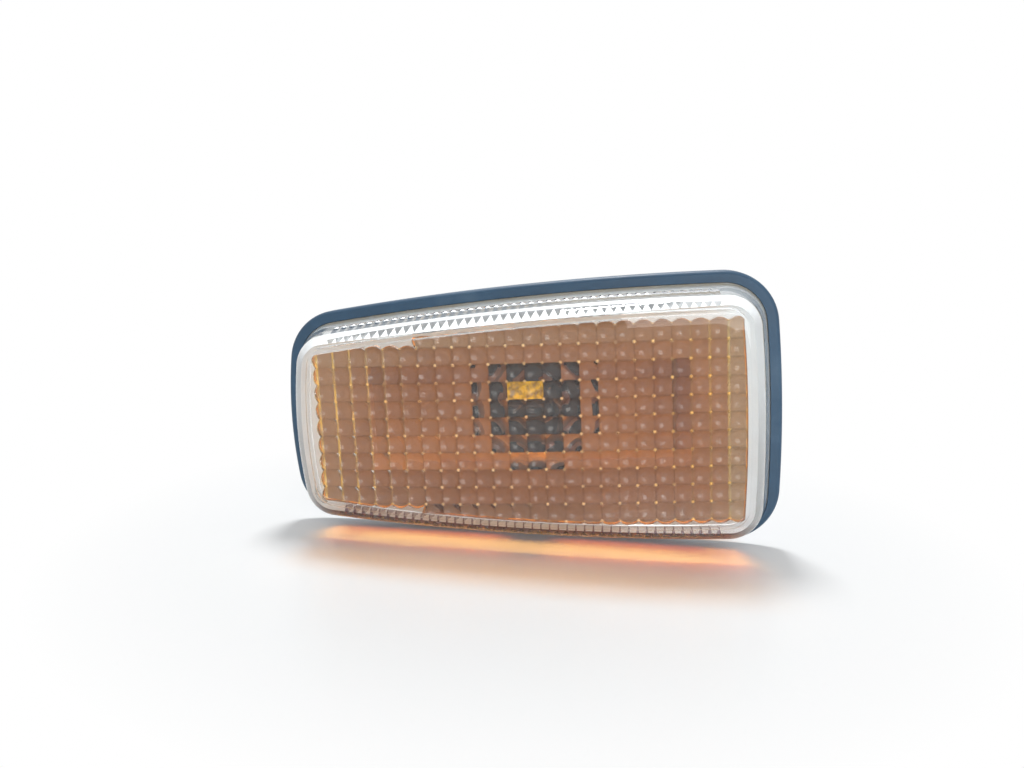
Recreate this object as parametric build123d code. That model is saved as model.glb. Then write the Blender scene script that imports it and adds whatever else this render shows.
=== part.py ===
from build123d import *
import math
import os

# Side repeater lamp for a car's front wing, in millimetres.
# +X runs to the lamp's tall end, -Y is the way the lens faces and +Z is up.
# The origin is the middle of the panel face, where the gasket lies on the car body.
# A height is measured forward from that face and a depth backward, into the car.

# Lens outline, four sides that all bow outward
lens_length = 88.6
tall_end_height = 47.0
long_side_radius = 563.0
long_side_level_x = 35.9
tall_end_radius = 250.0
low_end_radius = 85.0
corner_radius = 7.7
least_corner = 0.4

# Outer lens
lens_rise = 11.2
lens_draft = 14.5
crown_radius = 400.0
front_edge_radius = 3.6
edge_flats = 3
front_wall = 1.6
side_wall = 1.5

# V flutes inside the lens's long walls
flute_pitch = 1.6
flute_height = 1.0
flute_length = 3.8
flute_root = 0.5
flute_base = 0.15
flute_foot = 1.4
flute_end_gap = 0.8

# Pillow optics of the amber insert
optic_pitch = 3.2
optic_columns = 24
optic_rows = 11
short_columns = 6
short_rows = 9
optic_centre_x = 0.9
optic_inset = 5.1
pillow_rise = 0.7
insert_thickness = 1.2
cell_root = 0.8
free_side_share = 0.3
scallop_share = 0.96
scallop_flats = 8
bond_gap = 0.05

# Rib on the lens that frames the insert
frame_width = 0.7
frame_height = 0.9
frame_clearance = 0.15

# Gasket
pad_thickness = 2.0
pad_inset = 6.0
gasket_overhang = 2.2
gasket_low_overhang = 0.8
gasket_edge_radius = 0.9
gasket_edge_flats = 1
gasket_clearance = 0.1

# Housing
flange_thickness = 1.2
clip_space = 6.3
neck_side_margin = 11.0
neck_radius = 7.0
neck_depth = 8.0
housing_wall = 1.8
boss_wall = 1.5
boss_depth = 18.0
bayonet_wall = 1.8
gusset_thickness = 1.6
gusset_reach = 7.0
gusset_height = 7.0

# Clips that hold the lamp in the car's panel
panel_thickness = 1.0
panel_clearance = 0.3
hook_reach = 3.0
hook_width = 10.0
hook_thickness = 2.2
tongue_gap = 2.2
tongue_thickness = 1.2
tongue_width = 11.0
barb_reach = 1.8
barb_length = 4.0

# Bulb holder
barrel_diameter = 17.0
barrel_clearance = 0.3
barrel_nose = 4.2
lug_reach = 1.8
lug_angle = 34.0
lug_thickness = 1.4
lug_clearance = 0.2
lug_side_clearance = 0.45
notch_angle = 40.0
seal_thickness = 1.6
seal_width = 2.2
seal_clearance = 0.1
cap_margin = 1.2
cap_thickness = 2.0
shroud_length = 14.4
shroud_height = 11.0
shroud_wall = 1.5
shroud_floor = 1.5
shroud_corner = 2.0
latch_width = 4.0
latch_length = 3.0
latch_height = 1.2
latch_setback = 4.0
wing_thickness = 2.4
wing_width = 2.6
wing_length = 8.0

# Wedge-base bulb
bulb_length = 26.8
bulb_diameter = 10.2
bulb_wall = 0.7
nose_flats = 2
pinch_web = 1.4
wedge_length = 8.4
wedge_width = 9.6
wedge_thickness = 2.4
wedge_clearance = 0.3
slot_floor_gap = 0.1
lead_diameter = 0.5
lead_spacing = 7.2
lead_fold_length = 5.0
filament_above_base = 16.5
filament_setback = 0.6
filament_diameter = 0.7

# Sprung contacts that end as the connector's blades
contact_width = 2.6
contact_thickness = 0.6
contact_clearance = 0.1
contact_touch_gap = 0.05
contact_setback = 1.5
blade_length = 9.0
blade_margin = 2.2

# Values that follow from the sizes above
lens_foot = pad_thickness + flange_thickness
lens_front = lens_foot + lens_rise
crown_axis = Axis((0, crown_radius - lens_front, 0), (0, 0, 1))
draft_slope = math.tan(math.radians(lens_draft))
long_side_drop = long_side_radius - tall_end_height / 2
insert_front_radius = crown_radius - front_wall - bond_gap
insert_back_radius = insert_front_radius - insert_thickness
column_angle = math.degrees(2 * math.asin(optic_pitch / 2 / insert_back_radius))
neck_length = lens_length - 2 * (pad_inset + clip_space)
neck_height = tall_end_height - 2 * neck_side_margin
clip_depth = panel_thickness + panel_clearance
barrel_radius = barrel_diameter / 2
boss_bore_radius = barrel_radius + lug_reach + lug_side_clearance
boss_radius = boss_bore_radius + boss_wall
bayonet_face = boss_depth - bayonet_wall
nose_depth = bayonet_face - barrel_nose
cap_front = boss_depth + seal_thickness
cap_back = cap_front + cap_thickness
seal_bore_radius = barrel_radius + seal_clearance
cap_radius = seal_bore_radius + seal_width + cap_margin
shroud_width = lead_spacing + contact_width + 2 * (blade_margin + shroud_wall)
shroud_back = cap_back + shroud_length
wedge_back = nose_depth + wedge_length
slot_back = wedge_back + lead_diameter + slot_floor_gap
bulb_tip = wedge_back - bulb_length
lead_offset = wedge_thickness / 2 + lead_diameter / 2
contact_offset = lead_offset + lead_diameter / 2 + contact_touch_gap + contact_thickness / 2


def at(height):
    """The plane parallel to the car's panel at a height in front of it."""
    return Plane.XZ.offset(height)


def slab(sketch, back, front):
    """A sketch of the lamp's face, raised from one height to another."""
    return extrude(at(back) * sketch, front - back)


def drum(radius, front, back):
    """A round bar on the bulb's axis, from one depth to another."""
    return Pos(0, (front + back) / 2, 0) * Rot(90, 0, 0) * Cylinder(radius, back - front)


def bar(x, y, z):
    """A block between two limits along each axis."""
    middle = Pos((x[0] + x[1]) / 2, (y[0] + y[1]) / 2, (z[0] + z[1]) / 2)
    return middle * Box(x[1] - x[0], y[1] - y[0], z[1] - z[0])


def sector(inner, outer, front, back, angle, middle):
    """A stretch of a ring round the bulb's axis, centred on one angle."""
    profile = Pos((inner + outer) / 2, (front + back) / 2) * Rectangle(outer - inner, back - front)
    return revolve(profile, Axis.Y, angle).rotate(Axis.Y, middle - angle / 2)


def flat_clip(points, width):
    """A clip with one outline all across its width, seen along the lamp's height."""
    return extrude(make_face(Polyline(*points, close=True)), width / 2, both=True)


def lamp_outline(ends=0.0, top=0.0, bottom=0.0):
    """The lamp's outline as the overlap of four discs, with its sides moved outward."""
    level = long_side_level_x
    face = Pos(level, -long_side_drop) * Circle(long_side_radius + top)
    face &= Pos(level, long_side_drop) * Circle(long_side_radius + bottom)
    face &= Pos(lens_length / 2 - tall_end_radius, 0) * Rot(0, 0, 180) * Circle(tall_end_radius + ends)
    face &= Pos(low_end_radius - lens_length / 2, 0) * Circle(low_end_radius + ends)
    return fillet(face.vertices(), max(corner_radius + ends, least_corner))


def inset_outline(inset):
    """The lamp's outline, drawn in evenly on all sides."""
    return lamp_outline(-inset, -inset, -inset)


def crown(radius):
    """The round bar that gives the lens its bow from end to end."""
    place = Pos(*crown_axis.position) * Rot(0, 0, 90)
    return place * Cylinder(radius, 2 * tall_end_height)


def lens_form(inset, radius):
    """A drafted block with the lens outline and a crowned face."""
    block = extrude(at(lens_foot) * inset_outline(inset), lens_rise + front_wall, taper=lens_draft)
    return block & crown(radius)


def rounded_front(block, radius, flats, draft):
    """A block whose front edge is rounded by flats that all touch one arc."""
    turn = math.radians(90 - draft)
    step = turn / (flats + 1)
    flat = 2 * radius * math.tan(step / 2)
    wall_leg = radius * math.tan(turn / 2) - flat / 2
    for _ in range(flats):
        front = block.faces().sort_by(Axis.Y)[0]
        front_leg = wall_leg * math.sin(step) / math.sin(turn - step)
        block = chamfer(front.edges(), front_leg, wall_leg, reference=front)
        wall_leg = wall_leg * math.sin(turn) / math.sin(turn - step) - flat
        turn -= step
    return block


def long_wall(x):
    """Height of the lens's upper inner wall over the lamp's middle line, at the lens foot."""
    radius = long_side_radius - side_wall
    return math.sqrt(radius**2 - (x - long_side_level_x) ** 2) - long_side_drop


def flutes():
    """A row of V flutes along the upper wall, leaning with its draft."""
    reach = lens_length / 2 - corner_radius - flute_end_gap
    count = int(2 * reach / flute_pitch)
    start = -count * flute_pitch / 2
    drop = flute_foot * draft_slope
    points = []
    for step in range(2 * count + 1):
        x = start + step * flute_pitch / 2
        points.append((x, long_wall(x) - drop - flute_base - flute_height * (step % 2)))
    root = [(x, long_wall(x) - drop + flute_root) for x in (start, 0, -start)]
    edges = [
        Polyline(*points),
        Line(points[-1], root[2]),
        ThreePointArc(root[2], root[1], root[0]),
        Line(root[0], points[0]),
    ]
    row = at(lens_foot + flute_foot) * make_face(edges)
    lean = (0, -1, -draft_slope)
    return extrude(row, flute_length / math.cos(math.radians(lens_draft)), dir=lean)


def outer_lens():
    """Clear cover with fluted long walls and a rib that frames the insert."""
    form = lens_form(0.0, crown_radius)
    form = rounded_front(form, front_edge_radius, edge_flats, lens_draft)
    hollow = lens_form(side_wall, crown_radius - front_wall)
    inner = optic_inset - frame_clearance
    frame = inset_outline(inner - frame_width) - inset_outline(inner)
    frame = slab(frame, lens_foot, lens_front) & crown(crown_radius - front_wall / 2)
    frame -= crown(crown_radius - front_wall - frame_height)
    row = flutes()
    return form - hollow + frame + row + mirror(row, Plane.XY)


def in_array(column, row):
    """Whether the pillow array has a cell in this place."""
    rows = short_rows if column < short_columns else optic_rows
    return 0 <= column < optic_columns and abs(row) <= rows // 2


def array_cells():
    """Each cell's column, row and which of its four sides are free."""
    for column in range(optic_columns):
        for row in range(-(optic_rows // 2), optic_rows // 2 + 1):
            if in_array(column, row):
                sides = ((column - 1, row), (column + 1, row), (column, row - 1), (column, row + 1))
                yield column, row, tuple(not in_array(*side) for side in sides)


def column_turn(column):
    """Angle of a column round the crown's axis."""
    start = math.degrees(optic_centre_x / insert_back_radius)
    return start + (column - (optic_columns - 1) / 2) * column_angle


def column_x(column):
    """Place of a column along the lamp."""
    return insert_back_radius * math.sin(math.radians(column_turn(column)))


def cushion():
    """A pillow of four flats, wider than a cell, with its slopes through the cell's four sides."""
    reach = optic_pitch / 2 * (1 + cell_root / pillow_rise)
    valley = crown_axis.position.Y - insert_back_radius * math.cos(math.radians(column_angle / 2))
    foot = valley - cell_root
    gable = Polyline((-reach, foot), (0, valley + pillow_rise), (reach, foot), close=True)
    roof = extrude(make_face(gable), reach, both=True)
    return roof & roof.rotate(Axis.Y, 90)


def pillow(free_sides):
    """One cell in the middle of the array: a cushion cut by its cell, let out on free sides."""
    left, right, low, high = (0.5 + free_side_share * free for free in free_sides)
    back = crown_axis.position.Y - insert_back_radius
    middle = Pos(back + pillow_rise - cell_root / 2, (high - low) * optic_pitch / 2)
    profile = Plane.YZ * middle * Rectangle(2 * pillow_rise + cell_root, (high + low) * optic_pitch)
    wedge = revolve(profile, crown_axis, (left + right) * column_angle)
    return wedge.rotate(crown_axis, -left * column_angle) & cushion()


def insert_outline():
    """The insert's outline: the array's two blocks, scalloped by flats along their free sides."""
    scallop_radius = scallop_share * optic_pitch / math.sqrt(2)
    scallop = RegularPolygon(scallop_radius, scallop_flats, False, 180 / scallop_flats)
    left = column_x(-0.5)
    step = column_x(short_columns - 0.5)
    right = column_x(optic_columns - 0.5)
    face = Pos((step + right) / 2, 0) * Rectangle(right - step, optic_rows * optic_pitch)
    face += Pos((left + step) / 2, 0) * Rectangle(step - left, short_rows * optic_pitch)
    edge_cells = [cell for cell in array_cells() if any(cell[2])]
    face += [Pos(column_x(c), r * optic_pitch) * scallop for c, r, _ in edge_cells]
    return face & inset_outline(optic_inset)


def amber_lens():
    """Amber insert: a crowned plate whose back is an array of pillow cells."""
    prism = slab(insert_outline(), lens_foot, lens_front)
    plate = prism & (crown(insert_front_radius) - crown(insert_back_radius + cell_root / 2))
    shapes = {}
    cells = []
    for column, row, free_sides in array_cells():
        if free_sides not in shapes:
            shapes[free_sides] = pillow(free_sides)
        cell = Pos(0, 0, row * optic_pitch) * shapes[free_sides]
        cells.append(cell.rotate(crown_axis, column_turn(column)))
    return plate.fuse(*cells) & prism


def gasket():
    """Rubber seal: a pad on the panel and a lip round the housing's flange."""
    outline = lamp_outline(gasket_overhang, gasket_overhang, gasket_low_overhang)
    body = slab(outline, 0, lens_foot)
    body = rounded_front(body, gasket_edge_radius, gasket_edge_flats, 0.0)
    body -= slab(inset_outline(-gasket_clearance), pad_thickness, lens_foot)
    return body - slab(inset_outline(pad_inset), 0, pad_thickness)


def neck_outline(inset=0.0):
    """The part of the housing that goes through the panel."""
    length = neck_length - 2 * inset
    height = neck_height - 2 * inset
    return RectangleRounded(length, height, neck_radius - inset)


def hook():
    """Fixed hook at the low end, braced to the neck's wall."""
    root = -neck_length / 2 + housing_wall / 2
    tip = -neck_length / 2 - hook_reach
    back = clip_depth + hook_thickness
    points = [(root, clip_depth), (tip, clip_depth), (tip, back), (root, back + hook_reach)]
    return flat_clip(points, hook_width)


def tongue():
    """Snap tongue at the tall end, a leaf with a barb that springs inward."""
    root = neck_length / 2 - housing_wall / 2
    inner = neck_length / 2 + tongue_gap
    outer = inner + tongue_thickness
    bridge = neck_depth - housing_wall
    points = [
        (root, neck_depth),
        (outer, neck_depth),
        (outer, clip_depth + barb_length),
        (outer + barb_reach, clip_depth),
        (inner, clip_depth),
        (inner, bridge),
        (root, bridge),
    ]
    return flat_clip(points, tongue_width)


def gusset():
    """Web between the boss and the neck's floor."""
    root = boss_bore_radius + boss_wall / 2
    floor = neck_depth - housing_wall / 2
    points = [(root, floor), (boss_radius + gusset_reach, floor), (root, neck_depth + gusset_height)]
    return flat_clip(points, gusset_thickness)


def housing():
    """Pale back moulding: flange, neck, bayonet boss and both clips."""
    floor_depth = neck_depth - housing_wall
    body = slab(lamp_outline(), pad_thickness, lens_foot)
    body += slab(neck_outline(), -neck_depth, lens_foot)
    body += drum(boss_radius, floor_depth, boss_depth)
    web = gusset()
    body += [web, mirror(web, Plane.YZ), hook(), tongue()]
    body -= slab(neck_outline(housing_wall), -floor_depth, lens_foot)
    body -= drum(boss_bore_radius, floor_depth, bayonet_face)
    body -= drum(barrel_radius + barrel_clearance, bayonet_face, boss_depth)
    notch = sector(0, boss_bore_radius, bayonet_face, boss_depth, notch_angle, 90)
    return body - notch - mirror(notch, Plane.XY)


def contact(side, clearance=0.0):
    """A sprung strip beside the bulb's wedge that steps to the middle as a blade."""
    blade_front = slot_back + contact_offset
    blade_back = cap_back + shroud_floor + blade_length
    line = Polyline(
        (nose_depth + contact_setback, contact_offset),
        (slot_back, contact_offset),
        (blade_front, 0),
        (blade_back, 0),
    )
    strip = Plane.YZ * trace(line, contact_thickness + 2 * clearance)
    strip = extrude(strip, contact_width / 2 + clearance, both=True)
    strip = Pos(lead_spacing / 2, 0, 0) * strip
    return strip if side > 0 else strip.rotate(Axis.Y, 180)


def bulb_holder():
    """Twist-lock holder with the bulb's slot in front and the connector behind."""
    body = drum(cap_radius, cap_front, cap_back) + drum(barrel_radius, nose_depth, cap_front)
    lug_back = bayonet_face - lug_clearance
    lug_tip = barrel_radius + lug_reach
    lug = sector(barrel_radius / 2, lug_tip, lug_back - lug_thickness, lug_back, lug_angle, 0)
    body += [lug, mirror(lug, Plane.YZ)]
    body += slab(RectangleRounded(shroud_width, shroud_height, shroud_corner), -shroud_back, -cap_back)
    wing_root = shroud_width / 2 - shroud_wall / 2
    wing_x = (wing_root, shroud_width / 2 + wing_width)
    half_wing = wing_thickness / 2
    wing = bar(wing_x, (cap_back, cap_back + wing_length), (-half_wing, half_wing))
    latch_end = shroud_back - latch_setback
    latch_foot = shroud_height / 2
    latch = make_face(
        Polyline(
            (latch_end - latch_length, latch_foot),
            (latch_end - latch_length, latch_foot + latch_height),
            (latch_end, latch_foot),
            close=True,
        )
    )
    body += [wing, mirror(wing, Plane.YZ), extrude(Plane.YZ * latch, latch_width / 2, both=True)]
    socket = RectangleRounded(
        shroud_width - 2 * shroud_wall,
        shroud_height - 2 * shroud_wall,
        shroud_corner - shroud_wall,
    )
    body -= slab(socket, -shroud_back, -cap_back - shroud_floor)
    half_slot = wedge_width / 2 + wedge_clearance
    slot_rise = wedge_thickness / 2 + wedge_clearance
    body -= bar((-half_slot, half_slot), (nose_depth, slot_back), (-slot_rise, slot_rise))
    middle = lead_spacing / 2
    half_contact = contact_width / 2 + contact_clearance
    channel_top = contact_offset + contact_thickness / 2 + contact_clearance
    channel_x = (middle - half_contact, middle + half_contact)
    channel = bar(channel_x, (nose_depth, slot_back), (0, channel_top))
    body -= [channel, channel.rotate(Axis.Y, 180)]
    return body - contact(1, contact_clearance) - contact(-1, contact_clearance)


def holder_seal():
    """Flat ring between the boss and the holder's cap."""
    outer = seal_bore_radius + seal_width
    return drum(outer, boss_depth, cap_front) - drum(seal_bore_radius, boss_depth, cap_front)


def bulb_glass():
    """Wedge-base bulb: a hollow round-nosed capsule on a flat pinch that the leads run through."""
    radius = bulb_diameter / 2
    step = math.pi / 2 / (nose_flats + 1)
    reach = radius / math.cos(step / 2)
    points = [(0, bulb_tip), (0, nose_depth), (radius, nose_depth)]
    for corner in range(nose_flats + 1):
        turn = (corner + 0.5) * step
        points.append((reach * math.cos(turn), bulb_tip + radius - reach * math.sin(turn)))
    body = revolve(make_face(Polyline(*points, close=True)), Axis.Y)
    shoulder = points[3][1]
    half_width = wedge_width / 2
    half_thickness = wedge_thickness / 2
    wedge_front = nose_depth - pinch_web
    pinch = bar(
        (-half_width, half_width),
        (wedge_front, wedge_back),
        (-half_thickness, half_thickness),
    )
    hollow = drum(radius - bulb_wall, shoulder, wedge_front)
    return body + pinch - hollow - lead(1) - lead(-1)


def lead(side):
    """Lead wire from the filament through the pinch, folded back on the wedge."""
    x = lead_spacing / 2
    front = wedge_back - filament_above_base
    turn = wedge_back + lead_diameter / 2
    path = Polyline(
        (x, front, 0),
        (x, turn, 0),
        (x, turn, lead_offset),
        (x, turn - lead_fold_length, lead_offset),
    )
    section = Plane(path @ 0, z_dir=path % 0) * Circle(lead_diameter / 2)
    wire = sweep(section, path, transition=Transition.RIGHT)
    return wire if side > 0 else wire.rotate(Axis.Y, 180)


def bulb_filament():
    """Coiled filament between the two leads, as its outer cylinder."""
    length = lead_spacing - lead_diameter
    depth = wedge_back - filament_above_base + filament_setback
    return Pos(0, depth, 0) * Rot(0, 90, 0) * Cylinder(filament_diameter / 2, length)


pieces = {
    "outer_lens": outer_lens(),
    "amber_lens": amber_lens(),
    "gasket": gasket(),
    "housing": housing(),
    "bulb_holder": bulb_holder(),
    "holder_seal": holder_seal(),
    "contact_left": contact(-1),
    "contact_right": contact(1),
    "bulb_glass": bulb_glass(),
    "lead_left": lead(-1),
    "lead_right": lead(1),
    "bulb_filament": bulb_filament(),
}

os.makedirs("parts", exist_ok=True)
for name, shape in pieces.items():
    export_step(shape, f"parts/{name}.step")
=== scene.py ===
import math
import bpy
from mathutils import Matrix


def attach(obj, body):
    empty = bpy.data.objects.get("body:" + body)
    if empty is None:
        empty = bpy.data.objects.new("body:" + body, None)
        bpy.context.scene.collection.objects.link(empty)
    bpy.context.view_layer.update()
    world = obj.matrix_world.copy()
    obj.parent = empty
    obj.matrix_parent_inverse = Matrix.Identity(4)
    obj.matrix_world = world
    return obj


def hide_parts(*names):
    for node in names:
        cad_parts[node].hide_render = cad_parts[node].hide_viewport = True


bl_info = {
    "name": "Side Repeater Lamp",
    "version": (1, 0, 0),
    "blender": (4, 5, 0),
    "location": "View3D > Sidebar > Repeater",
    "description": "Lens, amber optics, gasket and bulb of a car's side repeater lamp",
    "category": "Object",
}

import bmesh
import bpy
from bpy.props import FloatProperty, FloatVectorProperty, IntProperty, PointerProperty
from bpy.types import Operator, Panel, PropertyGroup
from mathutils import Matrix, Vector

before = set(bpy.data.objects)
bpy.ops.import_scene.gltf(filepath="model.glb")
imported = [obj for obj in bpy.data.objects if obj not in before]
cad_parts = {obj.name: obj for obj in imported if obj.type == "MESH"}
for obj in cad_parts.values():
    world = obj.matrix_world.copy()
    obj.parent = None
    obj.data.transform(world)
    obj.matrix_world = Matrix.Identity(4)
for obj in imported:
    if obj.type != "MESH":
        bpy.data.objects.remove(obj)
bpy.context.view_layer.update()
BODY = "root"

# Optics
WHITE = (1.0, 1.0, 1.0)
ACRYLIC_IOR = 1.49
SEAM_IOR = 1.25  # the bonded seam bends light less than air would
GLASS_IOR = 1.5

# Fineness of the meshes
END_STEPS, CORNER_STEPS = 36, 20  # stations on a bowed end and on a corner
WALL_STEPS, EDGE_STEPS, FACE_STEPS, BACK_STEPS = 5, 12, 16, 12  # rings of the outer lens
LIP_STEPS = 8  # rings of the gasket's rounded lip
FIT_ROUNDS = 12  # rounds that find where a wall meets the bowed face
FLUTE_STEP = 1e-5  # run of a flute's end faces
RING_WELD, CELL_WELD, PLATE_WELD = 1e-8, 4e-6, 2e-6  # distances at which points are joined
SEAM_LIMIT = -0.7  # the insert's faces whose normals point further forward lie on the seam
GLASS_SIDES, DOME_STEPS, SHOULDER_STEPS = 48, 12, 5
WIRE_SIDES, STRAIGHT_STEPS, BEND_STEPS, FOLD_STEPS = 12, 10, 12, 4  # of a lead
COIL_SIDES, COIL_STEPS = 6, 14
FLOOR_STEPS = 8

# Rings of the lens's inner side, counted from its foot
CORNER_RING, RIB_RING = 5, 9


# Sizes and colours that a user would change

def length(name, description, default):
    return FloatProperty(name=name, description=description, default=default, unit="LENGTH", precision=5)


def angle(name, description, degrees):
    return FloatProperty(name=name, description=description, default=math.radians(degrees), subtype="ANGLE")


def power(name, description, default):
    return FloatProperty(name=name, description=description, default=default, min=0.0, unit="POWER")


def count(name, description, default, least=0, most=1000):
    return IntProperty(name=name, description=description, default=default, min=least, max=most)


def vector(name, description, default, subtype="TRANSLATION"):
    return FloatVectorProperty(name=name, description=description, default=default, subtype=subtype, size=3)


def colour(name, description, default):
    return FloatVectorProperty(
        name=name, description=description, default=default, subtype="COLOR", size=3, min=0.0, max=1.0
    )


class LensSizes(PropertyGroup):
    """Sizes of the clear outer lens"""

    reach: length("Length", "Lens length at its foot", 0.0886)
    tall_end: length("Tall end", "Lens height where its long sides are level", 0.047)
    long_radius: length("Long side radius", "Bow of the upper and lower sides", 0.563)
    level_x: length("Level point", "Place along the lamp where the long sides are level", 0.0359)
    tall_radius: length("Tall end radius", "Bow of the tall end", 0.25)
    low_radius: length("Low end radius", "Bow of the low end", 0.085)
    corner: length("Corner radius", "Corner radius at the lens foot", 0.0077)
    foot: length("Foot", "Height of the lens foot over the panel", 0.0032)
    front: length("Front", "Height of the lens's middle over the panel", 0.0144)
    draft: angle("Draft", "Lean of the walls", 14.5)
    crown: length("Crown radius", "Bow of the face from end to end", 0.4)
    edge: length("Front edge radius", "Rounding between the walls and the face", 0.0036)
    face_wall: length("Face wall", "Thickness of the face", 0.0016)
    side_wall: length("Side wall", "Thickness of the walls", 0.0015)
    flute_pitch: length("Flute pitch", "Spacing of the V flutes", 0.0016)
    flute_height: length("Flute height", "Height of a flute over its valley", 0.001)
    flute_base: length("Flute base", "Height of the valleys over the wall", 0.00015)
    flute_start: length("Flute start", "Height over the foot where the flutes begin", 0.0014)
    flute_length: length("Flute length", "Run of the flutes along the wall", 0.0038)
    flute_count: count("Flutes", "Flutes on each long wall", 44, 1)
    vee_gap: length("Clear V gap", "Frosted strip between a flute and its clear V", 0.0016)
    vee_length: length("Clear V length", "Length of the clear V before each flute", 0.0022)
    rib_inset: length("Rib inset", "Distance of the framing rib from the outline", 0.00425)
    rib_width: length("Rib width", "Width of the framing rib", 0.0007)
    rib_height: length("Rib height", "Height of the framing rib", 0.0009)


class InsertSizes(PropertyGroup):
    """Sizes of the amber insert"""

    pitch: length("Cell pitch", "Width of a pillow cell", 0.0032)
    columns: count("Columns", "Columns of cells", 24, 2)
    rows: count("Rows", "Rows of cells", 11, 1)
    short_columns: count("Short columns", "Columns with fewer rows", 6)
    short_rows: count("Short rows", "Rows in the short columns", 9, 1)
    centre_x: length("Middle", "Place of the array's middle along the lamp", 0.0009)
    inset: length("Inset", "Distance of the insert from the lens outline", 0.0051)
    gap: length("Bond gap", "Gap between the insert and the lens face", 0.00005)
    thickness: length("Thickness", "Plate thickness in the valleys", 0.0012)
    ball: length("Pillow radius", "Radius of a pillow's back", 0.004)
    rise: length("Pillow rise", "Height of a pillow over its corners", 0.0007)
    scallop: FloatProperty(
        name="Scallop", description="Share of a cell's half diagonal", default=0.96, min=0.8, max=1.0
    )
    steps: count("Steps", "Faces along each side of a cell", 6, 2, 16)
    # The few cells that carry a painted glint of the bulb
    glint_column: count("Window column", "First column of the bright cells", 11)
    glint_width: count("Window width", "Bright cells side by side", 2)
    glint_row: count("Window row", "Row of the bright cells over the middle one", 2, -1000)


class GasketSizes(PropertyGroup):
    """Sizes of the rubber gasket"""

    overhang: length("Overhang", "Lip beyond the lens at the top and the ends", 0.0022)
    low_overhang: length("Lower overhang", "Lip beyond the lens below", 0.0008)
    edge: length("Edge radius", "Rounding of the lip's front edge", 0.0009)
    pad: length("Pad", "Thickness behind the housing's flange", 0.002)
    opening: length("Opening inset", "Distance of the opening from the lens outline", 0.006)
    clearance: length("Clearance", "Gap round the housing's flange", 0.0001)


class BulbSizes(PropertyGroup):
    """Sizes of the wedge-base bulb"""

    diameter: length("Diameter", "Diameter of the glass", 0.0102)
    wall: length("Wall", "Thickness of the glass", 0.0007)
    tip: length("Tip", "Depth of the glass tip, negative in front of the panel", -0.0064)
    shoulder: length("Shoulder", "Depth where the glass is drawn in", 0.0092)
    shoulder_radius: length("Shoulder radius", "Rounding where the glass is drawn in", 0.0022)
    base: length("Base", "Depth of the wedge's end", 0.0204)
    wedge_width: length("Wedge width", "Width of the flat base", 0.0096)
    wedge_thickness: length("Wedge thickness", "Thickness of the flat base", 0.0024)
    wedge_edge: length("Wedge edge", "Rounding of the flat base's edges", 0.0005)
    wedge_gap: length("Wedge gap", "Gap between the glass and the flat base", 0.00002)
    lead: length("Lead diameter", "Diameter of a lead wire", 0.0005)
    lead_spacing: length("Lead spacing", "Distance between the leads", 0.0072)
    lead_fold: length("Lead fold", "Length of a lead folded back on the base", 0.005)
    lead_reach: length("Lead reach", "Length of a lead in front of the filament", 0.0006)
    coil_depth: length("Coil depth", "Depth of the filament", 0.0045)
    coil: length("Coil diameter", "Outer diameter of the filament", 0.0007)
    coil_wire: length("Coil wire", "Diameter of the filament's wire", 0.00011)
    coil_turns: count("Coil turns", "Turns of the filament", 32, 3)


class Finishes(PropertyGroup):
    """Colours of the finishes"""

    clear: colour("Clear acrylic", "Tint of the outer lens", (0.95, 0.97, 0.975))
    frost: colour("Frosted wall", "Frosted inner side of the lens walls", (0.8, 0.82, 0.835))
    # Painted shade of the lower wall, where the insert keeps the light from it
    painted_low_shade: colour("Lower wall", "Dusky tint of the wall under the insert", (0.17, 0.11, 0.14))
    seam: colour("Seam", "Tint of the bonded seam", (0.99, 0.99, 0.985))
    amber: colour("Amber acrylic", "Tint of the pillows", (0.3, 0.1, 0.022))
    amber_front: colour("Amber front", "Tint of the insert before its pillows", (0.99, 0.98, 0.95))
    # Painted glint: pale colour in the pits between the pillows, standing for light glinting there
    painted_pit_glint: colour("Amber pits", "Pale pits between the pillows", (0.95, 0.62, 0.3))
    # Painted highlight: yellow of the bulb's glint on a few cells and of the lit end lines
    painted_yellow_glint: colour("Bright cells", "Yellow of the bright cells and the end lines", (0.95, 0.52, 0.01))
    # Painted highlight: orange on the scalloped edges, where light catches them
    painted_lip_highlight: colour("Amber lips", "Orange of the scalloped edges", (0.85, 0.3, 0.03))
    amber_light: colour("Amber light", "Tint of the light that falls through the insert", (0.82, 0.33, 0.05))
    rubber: colour("Gasket rubber", "Slate of the weathered rubber", (0.04, 0.097, 0.17))
    bloom: colour("Rubber bloom", "Pale bloom on the rubber", (0.1, 0.17, 0.25))
    dust: colour("Dust", "Dust specks on the rubber", (0.55, 0.57, 0.6))
    housing: colour("Housing", "Pale polypropylene", (0.78, 0.81, 0.83))
    housing_light: colour("Housing light", "Warm light that falls through the housing", (0.82, 0.56, 0.27))
    holder: colour("Holder", "Black nylon", (0.024, 0.021, 0.021))
    seal: colour("Seal", "Black seal rubber", (0.022, 0.022, 0.024))
    contact: colour("Contacts", "Tinned brass", (0.66, 0.52, 0.28))
    glass: colour("Bulb glass", "Clear glass", (0.97, 0.98, 0.97))
    wire: colour("Leads", "Nickel iron wire", (0.5, 0.48, 0.44))
    filament: colour("Filament", "Tungsten wire", (0.2, 0.2, 0.21))
    floor: colour("Floor", "Pale table", (0.95, 0.96, 0.965))


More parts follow.
